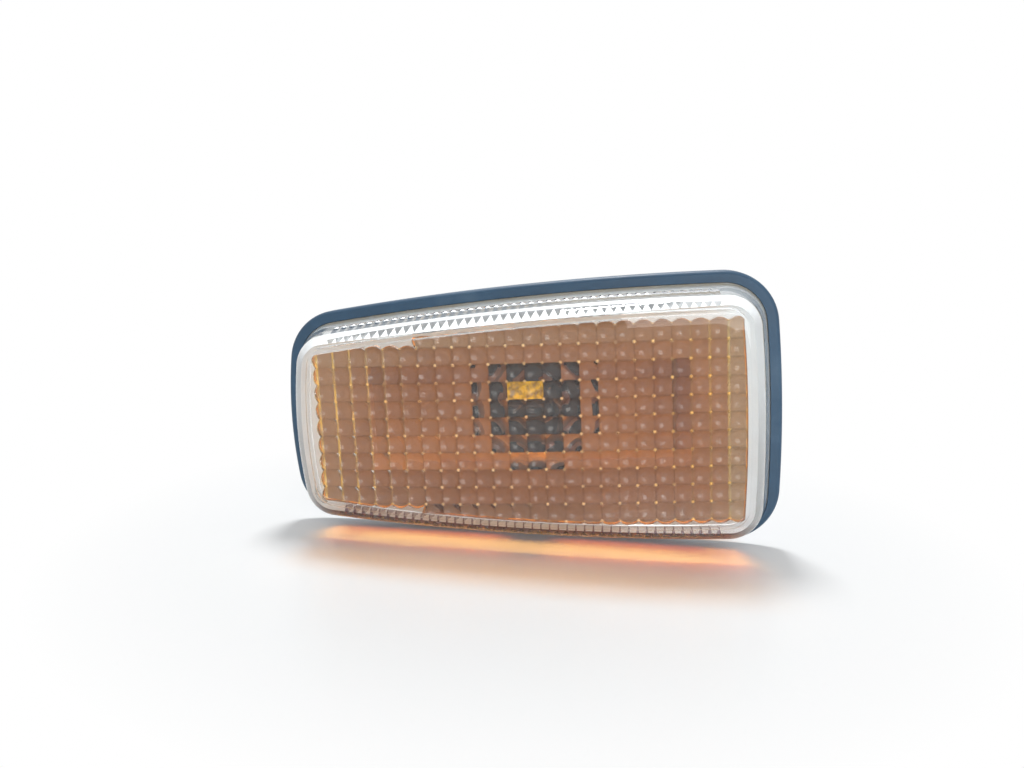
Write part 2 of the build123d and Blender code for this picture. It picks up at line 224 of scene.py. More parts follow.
class StageSettings(PropertyGroup):
    """Camera, floor and lights"""

    eye: vector("Eye", "Place of the camera", (0.01981, -0.1646, 0.03164))
    aim: vector("Aim", "Direction of view", (-0.13624, 0.97854, -0.15458), "DIRECTION")
    up: vector("Up", "Direction of the image's top", (0.02377, 0.15922, 0.98696), "DIRECTION")
    lens: FloatProperty(
        name="Focal length", description="Focal length in millimetres", default=30.97, unit="CAMERA"
    )
    tilt: angle("Floor tilt", "Slope of the floor along the lamp", 3.7)
    floor_size: length("Floor size", "Half width of the floor", 3.0)
    fade_start: length("Fade start", "Distance where the floor starts to run out to white", 0.042)
    fade_end: length("Fade end", "Distance where the floor is plain white", 0.09)
    sky: FloatProperty(name="Sky", description="Strength of the surrounding light", default=0.22, min=0.0)
    sky_tint: colour("Sky tint", "Tint of the surrounding light", (0.85, 0.94, 1.0))
    top_light: power("Top light", "Light from above and behind", 1.75)
    top_place: vector("Top place", "Place of the top light", (0.0, 0.165, 0.45))
    top_size: length("Top size", "Width of the top light", 0.1)
    front_light: power("Front light", "Light from the front", 1.25)
    front_place: vector("Front place", "Place of the front light", (0.22, -0.5, 0.11))
    front_size: length("Front size", "Width of the front light", 0.35)


class RepeaterSettings(PropertyGroup):
    """All settings of the lamp"""

    lens: PointerProperty(type=LensSizes)
    insert: PointerProperty(type=InsertSizes)
    gasket: PointerProperty(type=GasketSizes)
    bulb: PointerProperty(type=BulbSizes)
    finish: PointerProperty(type=Finishes)
    stage: PointerProperty(type=StageSettings)


# Node graphs

def math_method(operation):
    """A method that adds a math node."""

    def method(self, *others):
        return self.graph.math(operation, self, *others)

    return method


class Output:
    """An output of a node, which takes plain arithmetic"""

    def __init__(self, graph, socket):
        self.graph = graph
        self.socket = socket

    def __rsub__(self, other):
        return self.graph.math("SUBTRACT", other, self)

    __add__ = math_method("ADD")
    __sub__ = math_method("SUBTRACT")
    __mul__ = math_method("MULTIPLY")
    __truediv__ = math_method("DIVIDE")
    __lt__ = math_method("LESS_THAN")
    __gt__ = math_method("GREATER_THAN")
    __abs__ = math_method("ABSOLUTE")
    __round__ = math_method("ROUND")


def full(tone):
    """A colour with its alpha, or a node's output as it is."""
    return tone if isinstance(tone, Output) else (tone[0], tone[1], tone[2], 1.0)


def shade(tone, factor):
    """A colour made darker or lighter."""
    return tuple(min(1.0, part * factor) for part in tone)


class Graph:
    """Adds nodes to a tree and joins them"""

    def __init__(self, tree):
        self.tree = tree

    def node(self, kind, inputs=None, **settings):
        node = self.tree.nodes.new(kind)
        for name, value in settings.items():
            setattr(node, name, value)
        for key, value in (inputs or {}).items():
            if isinstance(value, Output):
                self.tree.links.new(value.socket, node.inputs[key])
            else:
                node.inputs[key].default_value = value
        return node

    def output(self, kind, inputs=None, name=0, **settings):
        return Output(self, self.node(kind, inputs, **settings).outputs[name])

    def outputs(self, kind, inputs=None, **settings):
        sockets = self.node(kind, inputs, **settings).outputs
        return {socket.name: Output(self, socket) for socket in sockets}

    def math(self, operation, *values):
        return self.output("ShaderNodeMath", dict(enumerate(values)), operation=operation)

    def larger(self, first, second):
        return self.math("MAXIMUM", first, second)

    def smaller(self, first, second):
        return self.math("MINIMUM", first, second)

    def root(self, value):
        return self.math("SQRT", value)

    def span(self, value, low, high, start=0.0, end=1.0):
        inputs = {"Value": value, "From Min": low, "From Max": high, "To Min": start, "To Max": end}
        return self.output("ShaderNodeMapRange", inputs, "Result", clamp=True)

    def mix(self, share, first, second):
        inputs = {0: share, 6: full(first), 7: full(second)}
        return self.output("ShaderNodeMix", inputs, 2, data_type="RGBA")

    def ramp(self, value, *stops):
        node = self.node("ShaderNodeValToRGB", {"Fac": value})
        elements = node.color_ramp.elements
        for element, (position, tone) in zip(elements, (stops[0], stops[-1])):
            element.position, element.color = position, full(tone)
        for position, tone in stops[1:-1]:
            elements.new(position).color = full(tone)
        return Output(self, node.outputs["Color"])

    def seen(self):
        """1 for rays that show the surroundings and 0 for those that only bring light."""
        path = self.outputs("ShaderNodeLightPath")
        through = self.larger(path["Is Glossy Ray"], path["Is Transmission Ray"])
        return self.larger(path["Is Camera Ray"], through)


class Surface(Graph):
    """The nodes of a new material, laid out in the object's own coordinates"""

    def __init__(self, name):
        self.material = bpy.data.materials.new(name)
        self.material.use_nodes = True
        self.material.node_tree.nodes.clear()
        super().__init__(self.material.node_tree)
        self.place = self.output("ShaderNodeTexCoord", name="Object")

    def along(self):
        return self.outputs("ShaderNodeSeparateXYZ", {0: self.place})

    def attribute(self, name):
        return self.output("ShaderNodeAttribute", None, "Fac", attribute_name=name)

    def noise(self, scale, detail=2.0, roughness=0.5, place=None):
        inputs = {"Vector": place or self.place, "Scale": scale, "Detail": detail, "Roughness": roughness}
        return self.output("ShaderNodeTexNoise", inputs, "Fac")

    def uneven(self, cloud, tone, depth, low=0.3, high=0.7):
        """A tone that is darker where the cloud is thin."""
        return self.ramp(cloud, (low, shade(tone, depth)), (high, tone))

    def bump(self, height, strength, distance):
        inputs = {"Height": height, "Strength": strength, "Distance": distance}
        return self.output("ShaderNodeBump", inputs)

    def opaque(self, tone, roughness, relief, strength, distance=0.0001, metallic=0.0):
        inputs = {
            "Base Color": tone,
            "Metallic": metallic,
            "Roughness": roughness,
            "Normal": self.bump(relief, strength, distance),
        }
        return self.output("ShaderNodeBsdfPrincipled", inputs)

    def tinted_shadow(self, shader, tint):
        """A finish whose shadow is the light that it lets through."""
        clear = self.output("ShaderNodeBsdfTransparent", {"Color": full(tint)})
        shadow = self.output("ShaderNodeLightPath", name="Is Shadow Ray")
        return self.output("ShaderNodeMixShader", {0: shadow, 1: shader, 2: clear})

    def see_through(self, tint, clarity, shadow_tint, ior, rough=0.0):
        """A clear finish that refracts, with faint handling marks, and lets tinted light into the lamp."""
        smear = self.span(self.noise(90.0, 4.0, 0.6), 0.35, 0.75, 0.0, 0.03)
        inputs = {
            "Base Color": tint,
            "Roughness": smear + rough,
            "IOR": ior,
            "Transmission Weight": clarity,
            "Normal": self.bump(self.noise(60.0, 1.0), 0.04, 0.0004),
        }
        return self.close(self.tinted_shadow(self.output("ShaderNodeBsdfPrincipled", inputs), shadow_tint))

    def close(self, shader):
        self.node("ShaderNodeOutputMaterial", {"Surface": shader})
        return self.material


def long_drop(lens):
    """Distance of a long side's centre from the lamp's middle line."""
    return lens.long_radius - lens.tall_end / 2


def clear_acrylic(finish):
    """Polished clear acrylic with a slightly uneven tint."""
    nodes = Surface("clear_acrylic")
    tint = nodes.uneven(nodes.noise(35.0), finish.clear, 0.985)
    return nodes.see_through(tint, 1.0, finish.clear, ACRYLIC_IOR)


def frosted_wall(finish, lens):
    """Inner side of the lens walls: clear flutes, frost with a clear V before each, and painted shade on the
    lower wall.
    """
    nodes = Surface("frosted_wall")
    along = nodes.along()
    flutes_low = -lens.foot - lens.flute_start
    flutes_high = flutes_low - lens.flute_length
    fluted = (along["Y"] < flutes_low) * (along["Y"] > flutes_high)
    off_level = along["X"] - lens.level_x
    over_side = along["Z"] + lens.tall_end / 2 - off_level * off_level / (2 * lens.long_radius)
    # Painted shade: the lower wall under the insert is tinted dark and made mostly opaque, standing for the
    # shade there
    low_shade_height, low_shade_reach = (0.0075, 0.0055), (0.041, 0.036)
    low_shade = nodes.span(over_side, *low_shade_height) * nodes.span(abs(along["X"]), *low_shade_reach)

    tint = nodes.uneven(nodes.noise(60.0, 3.0), finish.frost, 0.92)
    tint = nodes.mix(low_shade, nodes.mix(fluted, tint, finish.clear), finish.painted_low_shade)
    clear_below, frost_above = -0.019, 0.004
    frosted = nodes.span(along["Z"], clear_below, frost_above, 0.95, 0.25)
    clarity = nodes.larger(frosted, fluted) - low_shade * 0.85

    flute = along["X"] / lens.flute_pitch
    off_peak = 0.5 - abs(flute - round(flute))
    start = flutes_high - lens.vee_gap
    half_width = nodes.span(along["Y"], start, start - lens.vee_length, 0.5, 0.0)
    vee = (off_peak < half_width) * (along["Y"] < start) * (abs(flute) < lens.flute_count / 2)
    clarity = nodes.larger(clarity, vee * 0.7)
    rough = (1.0 - nodes.larger(vee, fluted)) * 0.5
    return nodes.see_through(tint, clarity, finish.clear, ACRYLIC_IOR, rough)


def bonded_seam(finish):
    """The seam where the insert is bonded to the lens face."""
    nodes = Surface("bonded_seam")
    tint = nodes.ramp(nodes.noise(80.0), (0.3, finish.clear), (0.7, finish.seam))
    return nodes.see_through(tint, 1.0, WHITE, SEAM_IOR)


def amber_acrylic(finish, insert):
    """Amber acrylic whose colour lies on its pillows, with painted glints in the pits where four of them meet,
    painted highlights on the end lines, the scalloped edges and a few bulb-lit cells, and painted shade along
    the creases.
    """
    nodes = Surface("amber_acrylic")
    along = nodes.along()
    rear = nodes.attribute("rear")
    column = (along["X"] - insert.centre_x) / insert.pitch + insert.columns / 2
    row = along["Z"] / insert.pitch + 0.5
    across, upward = abs(column - round(column)), abs(row - round(row))

    # Where along the lamp the painted highlight lines and their yellow start and are full, and widths in cells
    low_glint_lines, tall_glint_lines, yellow_glint_ends = (-0.018, -0.034), (0.028, 0.037), (0.016, 0.034)
    pit_glint_width, glint_line_width, crease_shade_width, lip_highlight_width = (0.13, 0.06), (0.1, 0.04), (0.07, 0.02), (0.86, 0.96)
    # Painted glint: a pale dot in the pit where four pillows meet
    pit_glint = nodes.span(nodes.root(across * across + upward * upward), *pit_glint_width)
    low_end = nodes.span(along["X"], *low_glint_lines, 0.0, 0.9)
    tall_end = nodes.span(along["X"], *tall_glint_lines, 0.0, 0.6)
    # Painted highlight: pale lines along the cells' sides near both ends, where light catches the edges
    valley = nodes.span(across, *glint_line_width) * nodes.larger(low_end, tall_end)
    # Noise that breaks up the painted glints and highlights
    highlight_break = nodes.span(nodes.noise(420.0, 1.0), 0.3, 0.6, 0.25, 1.0)
    # Painted glints and highlights together, on the pillowed rear only
    pale = nodes.larger(pit_glint, valley) * highlight_break * rear
    # Painted shade: darker amber along the creases where the pillows meet
    crease_shade = nodes.span(nodes.smaller(across, upward), *crease_shade_width) * rear * 0.4
    # Painted highlight: orange along the scalloped free edges, where light catches them
    lip = nodes.span(nodes.attribute("lip"), *lip_highlight_width) * highlight_break * rear

    # Painted glint: bright yellow on a few cells, standing for the bulb's glint seen through their pillows
    first, level = insert.glint_column, insert.glint_row
    bulb_glint = (column > first) * (column < first + insert.glint_width) * (row > level) * (row < level + 1)
    bulb_glint = bulb_glint * nodes.span(nodes.noise(900.0), 0.35, 0.6, 0.5, 1.0) * rear

    deep = nodes.uneven(nodes.noise(140.0, 3.0), finish.amber, 0.8)
    tint = nodes.mix(rear, finish.amber_front, deep)
    # Painted shade along the creases
    tint = nodes.mix(crease_shade, tint, shade(finish.amber, 0.3))
    tint = nodes.mix(lip, tint, finish.painted_lip_highlight)
    # The painted highlights turn yellow towards the ends
    near_end = nodes.span(abs(along["X"]), *yellow_glint_ends, 0.0, 0.7)
    tint = nodes.mix(pale, tint, nodes.mix(near_end, finish.painted_pit_glint, finish.painted_yellow_glint))
    tint = nodes.mix(bulb_glint, tint, finish.painted_yellow_glint)
    clarity = 1.0 - nodes.larger(nodes.larger(pale, lip), bulb_glint) * 0.85
    return nodes.see_through(tint, clarity, nodes.mix(rear, WHITE, finish.amber_light), ACRYLIC_IOR, 0.01)


def bulb_clear_glass(finish):
    """Clear drawn glass."""
    nodes = Surface("bulb_clear_glass")
    tint = nodes.uneven(nodes.noise(220.0), finish.glass, 0.97)
    return nodes.see_through(tint, 1.0, finish.glass, GLASS_IOR)


def gasket_rubber(finish):
    """Weathered slate rubber with a pale bloom and a few dust specks."""
    nodes = Surface("gasket_slate_rubber")
    cloud = nodes.noise(70.0, 5.0, 0.6)
    weathered = (0.25, shade(finish.rubber, 0.72)), (0.55, finish.rubber), (0.85, finish.bloom)
    spot = nodes.output("ShaderNodeTexVoronoi", {"Vector": nodes.place, "Scale": 330.0}, "Distance")
    speck = (spot < 0.1) * (nodes.noise(190.0, 0.0) > 0.66)
    tone = nodes.mix(speck, nodes.ramp(cloud, *weathered), finish.dust)
    roughness = nodes.span(cloud, 0.3, 0.8, 0.42, 0.62)
    return nodes.close(nodes.opaque(tone, roughness, nodes.noise(1500.0, 3.0), 0.18))


def moulded(name, tone, spread, rough, grain_scale, grain_depth, light=None):
    """A moulded plastic or rubber with uneven tone and a fine spark texture, which may let light through."""
    nodes = Surface(name)
    cloud = nodes.noise(45.0, 4.0, 0.55)
    paint = nodes.ramp(cloud, (0.28, shade(tone, 1.0 - spread)), (0.72, shade(tone, 1.0 + spread)))
    grain = nodes.noise(grain_scale, 3.0)
    roughness = nodes.span(grain, 0.3, 0.7, rough - 0.06, rough + 0.08)
    shader = nodes.opaque(paint, roughness, grain, grain_depth)
    return nodes.close(shader if light is None else nodes.tinted_shadow(shader, light))


def drawn_metal(name, tone, rough, stretch):
    """A drawn or rolled metal with fine lines along its run."""
    nodes = Surface(name)
    drawn = nodes.output("ShaderNodeMapping", {"Vector": nodes.place, "Scale": stretch})
    line = nodes.noise(1800.0, place=drawn)
    paint = nodes.uneven(nodes.noise(160.0, 3.0), tone, 0.75, high=0.75)
    roughness = nodes.span(line, 0.3, 0.7, rough, rough + 0.2)
    return nodes.close(nodes.opaque(paint, roughness, line, 0.1, 0.00005, metallic=1.0))


# Mesh helpers

def finish_mesh(name, mesh, materials, node, crease):
    """Puts a finished mesh on the lamp's body, in place of the solid that it stands for."""
    for material in materials:
        mesh.materials.append(material)
    mesh.polygons.foreach_set("use_smooth", [True] * len(mesh.polygons))
    mesh.set_sharp_from_angle(angle=math.radians(crease))
    piece = bpy.data.objects.new(name, mesh)
    bpy.context.scene.collection.objects.link(piece)
    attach(piece, BODY)
    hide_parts(node)


def mesh_of(bm, name, outward=True):
    """The mesh of what was modelled, with its faces turned outward."""
    if outward:
        bmesh.ops.recalc_face_normals(bm, faces=bm.faces)
    mesh = bpy.data.meshes.new(name)
    bm.to_mesh(mesh)
    bm.free()
    return mesh


def loft(name, rings, first_pole=None, last_pole=None, closed=False, finishes=None):
    """A mesh through rings of equally many points, shut by poles or joined end to end.

    The finishes give a band's material by number, with the first pole as band -1.
    """
    finishes = finishes or {}
    bm = bmesh.new()
    rows = [[bm.verts.new(point) for point in ring] for ring in rings]
    sides = len(rows[0])
    pairs = list(zip(rows, rows[1:]))
    if closed:
        pairs.append((rows[-1], rows[0]))
    for band, (low, high) in enumerate(pairs):
        for i in range(sides):
            j = (i + 1) % sides
            face = bm.faces.new((low[i], low[j], high[j], high[i]))
            face.material_index = finishes.get(band, 0)
    for band, row, pole in ((-1, rows[0], first_pole), (len(pairs), rows[-1], last_pole)):
        if pole is not None:
            tip = bm.verts.new(pole)
            for i in range(sides):
                face = bm.faces.new((row[i], row[(i + 1) % sides], tip))
                face.material_index = finishes.get(band, 0)
    bmesh.ops.remove_doubles(bm, verts=bm.verts, dist=RING_WELD)
    return mesh_of(bm, name)


def around(steps):
    """Cosines and sines of equal turns round a circle."""
    turns = [2 * math.pi * step / steps for step in range(steps)]
    return [(math.cos(turn), math.sin(turn)) for turn in turns]


def quarter(steps):
    """Cosines and sines of equal turns through a right angle, without its start."""
    turns = [math.pi / 2 * step / steps for step in range(1, steps + 1)]
    return [(math.cos(turn), math.sin(turn)) for turn in turns]


def chord(radius, offset):
    """Half the chord of a circle at a distance from its middle."""
    return math.sqrt(radius * radius - offset * offset)


# Lamp outline

class Station:
    """A point of the lamp's outline, its outward direction and its flute line, if it has one"""

    def __init__(self, place, outward, flute=None):
        self.place = place
        self.outward = outward
        self.flute = flute

    def inset(self, distance):
        return self.place - self.outward * distance


def corner_centre(first, second, radius, quadrant):
    """Centre of the arc that rounds the corner between two discs."""
    (a, ra), (b, rb) = first, second
    ra -= radius
    rb -= radius
    gap = b - a
    along = (ra * ra - rb * rb + gap.length_squared) / (2 * gap.length)
    unit = gap.normalized()
    side = Vector((-unit.y, unit.x)) * chord(ra, along)
    choices = [a + unit * along + side * sign for sign in (1, -1)]
    return max(choices, key=lambda place: place.dot(Vector(quadrant)))


def sweep_arc(centre, radius, start, end, steps):
    """Stations on an arc from one direction to another, without its last point."""
    first = math.atan2(start.y, start.x)
    turn = (math.atan2(end.y, end.x) - first + math.pi) % (2 * math.pi) - math.pi
    result = []
    for step in range(steps):
        angle_now = first + turn * step / steps
        outward = Vector((math.cos(angle_now), math.sin(angle_now)))
        result.append(Station(centre + outward * radius, outward))
    return result


def lamp_outline(lens, ends=0.0, top=0.0, bottom=0.0):
    """Stations round the lamp, anticlockwise from the tall end's foot, with its sides moved outward."""
    drop = long_drop(lens)
    discs = [
        (Vector((lens.reach / 2 - lens.tall_radius, 0)), lens.tall_radius + ends),
        (Vector((lens.level_x, -drop)), lens.long_radius + top),
        (Vector((lens.low_radius - lens.reach / 2, 0)), lens.low_radius + ends),
        (Vector((lens.level_x, drop)), lens.long_radius + bottom),
    ]
    radius = lens.corner + ends
    quadrants = [(1, 1), (-1, 1), (-1, -1), (1, -1)]
    corners = [corner_centre(discs[i], discs[(i + 1) % 4], radius, quadrants[i]) for i in range(4)]
    half_row = lens.flute_count * lens.flute_pitch / 2
    lines = range(2 * lens.flute_count + 1)
    stations = []
    for i, (centre, size) in enumerate(discs):
        start = (corners[i - 1] - centre).normalized()
        end = (corners[i] - centre).normalized()
        if i % 2 == 0:
            stations += sweep_arc(centre, size, start, end, END_STEPS)
        else:
            stations.append(Station(centre + start * size, start))
            for line in reversed(lines) if i == 1 else lines:
                across = line * lens.flute_pitch / 2 - half_row - centre.x
                rise = chord(size, across) * (1 if i == 1 else -1)
                outward = Vector((across, rise)) / size
                stations.append(Station(centre + outward * size, outward, line))
        after = (corners[i] - discs[(i + 1) % 4][0]).normalized()
        stations += sweep_arc(corners[i], radius, end, after, CORNER_STEPS)
    return stations


def ring_at(stations, inset, depth):
    """A ring of the outline, drawn in by an inset, at one depth."""
    places = [station.inset(inset) for station in stations]
    return [Vector((place.x, depth, place.y)) for place in places]


def crown_depth(lens, x, radius):
    """Depth of the bowed face of one radius at a place along the lamp."""
    return lens.crown - lens.front - chord(radius, x)


def over_face(lens, rim, radius, steps):
    """Points on the bowed face of one radius, from its rim towards its middle."""
    points = []
    for step in range(1, steps):
        place = rim * (1.0 - step / steps)
        points.append(Vector((place.x, crown_depth(lens, place.x, radius), place.z)))
    return points


# Outer lens

def front_edge(lens, station):
    """Centre of the rolling ball at the front edge, with its directions to the wall and the face."""
    axis = lens.crown - lens.front
    height = lens.front - lens.foot
    for _ in range(FIT_ROUNDS):
        place = station.inset(math.tan(lens.draft) * height + lens.edge * math.cos(lens.draft))
        ball = chord(lens.crown - lens.edge, place.x) - axis - lens.foot
        height = ball + lens.edge * math.sin(lens.draft)
    centre = Vector((place.x, -lens.foot - ball, place.y))
    wall = Vector((station.outward.x, 0, station.outward.y)) * math.cos(lens.draft)
    wall.y = -math.sin(lens.draft)
    face = Vector((place.x, -(axis + lens.foot + ball), 0)).normalized()
    return centre, wall, face


def outer_rings(lens, stations):
    """Rings from the foot over the wall and the rounded edge, and on over the face."""
    columns = []
    for station in stations:
        centre, wall, face = front_edge(lens, station)
        touch = centre + wall * lens.edge
        foot = Vector((station.place.x, -lens.foot, station.place.y))
        column = [foot.lerp(touch, step / WALL_STEPS) for step in range(WALL_STEPS)]
        for step in range(EDGE_STEPS + 1):
            column.append(centre + wall.slerp(face, step / EDGE_STEPS) * lens.edge)
        columns.append(column + over_face(lens, column[-1], lens.crown, FACE_STEPS))
    return [list(ring) for ring in zip(*columns)]


def inner_wall(lens, station, height, lifted=False):
    """A point of the inner wall at a height over the foot, which follows its flute line."""
    inset = lens.side_wall + math.tan(lens.draft) * height
    if station.flute is None:
        place = station.inset(inset)
    else:
        x = station.place.x
        rise = chord(lens.long_radius - inset, x - lens.level_x) - long_drop(lens)
        if lifted:
            rise -= lens.flute_base + lens.flute_height * (station.flute % 2)
        place = Vector((x, math.copysign(rise, station.place.y)))
    return Vector((place.x, -lens.foot - height, place.y))


def inner_corner(lens, station):
    """Where the inner wall meets the back of the face."""
    height = lens.front - lens.foot
    for _ in range(FIT_ROUNDS):
        place = station.inset(lens.side_wall + math.tan(lens.draft) * height)
        height = -lens.foot - crown_depth(lens, place.x, lens.crown - lens.face_wall)
    return Vector((place.x, -lens.foot - height, place.y))


def inner_rings(lens, stations):
    """Rings from the foot up the fluted wall, over the framing rib and on over the back of the face."""
    back = lens.crown - lens.face_wall
    flute_end = lens.flute_start + lens.flute_length
    rib_end = lens.rib_inset + lens.rib_width
    rib = [(lens.rib_inset, 0), (lens.rib_inset, 1), (rib_end, 1), (rib_end, 0)]
    columns = []
    for station in stations:
        column = [
            inner_wall(lens, station, 0.0),
            inner_wall(lens, station, lens.flute_start),
            inner_wall(lens, station, lens.flute_start + FLUTE_STEP, lifted=True),
            inner_wall(lens, station, flute_end - FLUTE_STEP, lifted=True),
            inner_wall(lens, station, flute_end),
            inner_corner(lens, station),
        ]
        for inset, raised in rib:
            place = station.inset(inset)
            depth = crown_depth(lens, place.x, back - lens.rib_height * raised)
            column.append(Vector((place.x, depth, place.y)))
        columns.append(column + over_face(lens, column[-1], back, BACK_STEPS))
    return [list(ring) for ring in zip(*columns)]


class REPEATER_OT_outer_lens(Operator):
    """Clear outer lens with a rounded front edge, fluted long walls and a framing rib"""

    bl_idname = "repeater.outer_lens"
    bl_label = "Outer lens"

    def execute(self, context):
        settings = context.scene.repeater
        lens, finish = settings.lens, settings.finish
        stations = lamp_outline(lens)
        inner = inner_rings(lens, stations)
        rings = inner[::-1] + outer_rings(lens, stations)
        back = Vector((0, crown_depth(lens, 0, lens.crown - lens.face_wall), 0))
        front = Vector((0, crown_depth(lens, 0, lens.crown), 0))
        foot = rings.index(inner[0])
        finishes = dict.fromkeys(range(foot - CORNER_RING, foot + 1), 1)
        finishes.update(dict.fromkeys(range(-1, foot - RIB_RING), 2))
        mesh = loft("lens_cover", rings, back, front, finishes=finishes)
        materials = clear_acrylic(finish), frosted_wall(finish, lens), bonded_seam(finish)
        finish_mesh("lens_cover", mesh, materials, "outer_lens", 32)
        return {"FINISHED"}


# Amber insert

def rows_each_side(insert, column):
    """Rows of a column above and below the middle one."""
    return (insert.short_rows if column < insert.short_columns else insert.rows) // 2


def free_sides(insert, column, row):
    """Which sides of a cell have no neighbour."""
    end = rows_each_side(insert, column)
    return {
        "free_left": column == 0 or abs(row) > rows_each_side(insert, column - 1),
        "free_right": column == insert.columns - 1,
        "free_low": row == -end,
        "free_high": row == end,
    }


def insert_cells(lens, insert):
    """A mesh of the cells' middles that carries each cell's turn, level and free sides."""
    back = lens.crown - lens.face_wall - insert.gap - insert.thickness
    step = 2 * math.asin(insert.pitch / 2 / back)
    cells = []
    for column in range(insert.columns):
        turn = insert.centre_x / back + (column - (insert.columns - 1) / 2) * step
        end = rows_each_side(insert, column)
        for row in range(-end, end + 1):
            cells.append({"turn": turn, "level": row * insert.pitch, **free_sides(insert, column, row)})
    mesh = bpy.data.meshes.new("insert_cells")
    mesh.from_pydata([(cell["turn"], 0.0, cell["level"]) for cell in cells], [], [])
    for name in cells[0]:
        values = [float(cell[name]) for cell in cells]
        mesh.attributes.new(name, "FLOAT", "POINT").data.foreach_set("value", values)
    return mesh


def new_tree(name, values):
    """A geometry node tree with a socket for each value, and the sockets' identifiers."""
    tree = bpy.data.node_groups.new(name, "GeometryNodeTree")
    tree.interface.new_socket("Base", in_out="INPUT", socket_type="NodeSocketGeometry")
    tree.interface.new_socket("Result", in_out="OUTPUT", socket_type="NodeSocketGeometry")
    names = {}
    for label, value in values.items():
        kind = "NodeSocketInt" if isinstance(value, int) else "NodeSocketFloat"
        names[label] = tree.interface.new_socket(label, in_out="INPUT", socket_type=kind).identifier
    return tree, names


def close_tree(graph, geometry, material):
    """Ends a geometry node tree with plain geometry of one material."""
    geometry = graph.output("GeometryNodeRealizeInstances", {"Geometry": geometry})
    geometry = graph.output("GeometryNodeSetMaterial", {"Geometry": geometry, "Material": material})
    graph.node("NodeGroupOutput", {0: geometry})


def lay_pillows(tree, material):
    """Geometry nodes that set a pillow on each cell's middle and close the plate."""
    graph = Graph(tree)
    given = graph.outputs("NodeGroupInput")

    def named(name):
        return graph.output("GeometryNodeInputNamedAttribute", {"Name": name}, "Attribute", data_type="FLOAT")

    def stored(geometry, name, value, selection=True):
        inputs = {"Geometry": geometry, "Selection": selection, "Name": name, "Value": value}
        return graph.output("GeometryNodeStoreNamedAttribute", inputs, data_type="FLOAT", domain="POINT")

    def welded(geometry, distance):
        return graph.output("GeometryNodeMergeByDistance", {"Geometry": geometry, "Distance": distance})

    def leg(radius, offset):
        return graph.root(radius * radius - offset * offset)

    corners = given["Steps"] + 1
    sides = {"Size X": 2.0, "Size Y": 2.0, "Vertices X": corners, "Vertices Y": corners}
    patch = graph.output("GeometryNodeMeshGrid", sides, "Mesh")
    place = graph.outputs("ShaderNodeSeparateXYZ", {0: graph.output("GeometryNodeInputPosition")})
    patch = stored(stored(patch, "across", place["X"]), "upward", place["Y"])
    cells = graph.output("GeometryNodeInstanceOnPoints", {"Points": given["Base"], "Instance": patch})
    sheet = graph.output("GeometryNodeRealizeInstances", {"Geometry": cells})

    across, upward, turn, level = named("across"), named("upward"), named("turn"), named("level")
    half = given["Pitch"] * 0.5
    bow = given["Scallop"] * math.sqrt(2)
    back = given["Front Radius"] - given["Thickness"]

    def free(ahead, high, low):
        return ahead * named(high) + (1.0 - ahead) * named(low)

    def scalloped(other, is_free):
        return half * ((graph.larger(leg(bow, other), 1.0) - 1.0) * is_free + 1.0)

    right_side = across > 0.0
    free_x = free(right_side, "free_right", "free_left")
    free_z = free(upward > 0.0, "free_high", "free_low")
    middle_x = back * graph.math("SINE", turn)
    tall_x = given["Tall Centre"] + leg(given["Tall Radius"] - given["Inset"], level + upward * half)
    reach_x = scalloped(upward, free_x)
    clipped_x = graph.smaller(reach_x, tall_x - middle_x)
    local_x = across * (reach_x + right_side * free_x * (clipped_x - reach_x))
    off_level = middle_x + local_x - given["Long Level"]
    long_z = leg(given["Long Radius"] - given["Inset"], off_level) - given["Long Drop"]
    reach_z = scalloped(across, free_z)
    clipped_z = graph.smaller(reach_z, long_z - abs(level))
    local_z = upward * (reach_z + free_z * (clipped_z - reach_z))

    ball = given["Ball Radius"]
    sag = ball - graph.root(ball * ball - (local_x * local_x + local_z * local_z))
    wanted = {
        "face_turn": turn + local_x / back,
        "face_level": level + local_z,
        "face_depth": given["Thickness"] + graph.larger(given["Rise"] - sag, 0.0),
        "lip": graph.larger(free_x * abs(across), free_z * abs(upward)),
        "rear": 0.0,
    }
    for name, value in wanted.items():
        sheet = stored(sheet, name, value)

    def on_crown(geometry, depth, selection=True):
        radius = given["Front Radius"] - depth
        angle_now = named("face_turn")
        where = {
            "X": radius * graph.math("SINE", angle_now),
            "Y": given["Axis Depth"] - radius * graph.math("COSINE", angle_now),
            "Z": named("face_level"),
        }
        position = graph.output("ShaderNodeCombineXYZ", where)
        inputs = {"Geometry": geometry, "Selection": selection, "Position": position}
        return graph.output("GeometryNodeSetPosition", inputs)

    front = welded(on_crown(sheet, 0.0), CELL_WELD)
    inputs = {"Mesh": front, "Offset Scale": 0.0, "Individual": False}
    raised = graph.outputs("GeometryNodeExtrudeMesh", inputs, mode="FACES")
    body = on_crown(raised["Mesh"], named("face_depth"), raised["Top"])
    body = stored(body, "rear", 1.0, raised["Top"])
    lid = graph.output("GeometryNodeFlipFaces", {"Mesh": front})
    whole = graph.node("GeometryNodeJoinGeometry")
    for part in (lid, body):
        tree.links.new(part.socket, whole.inputs[0])
    close_tree(graph, welded(Output(graph, whole.outputs[0]), PLATE_WELD), material)


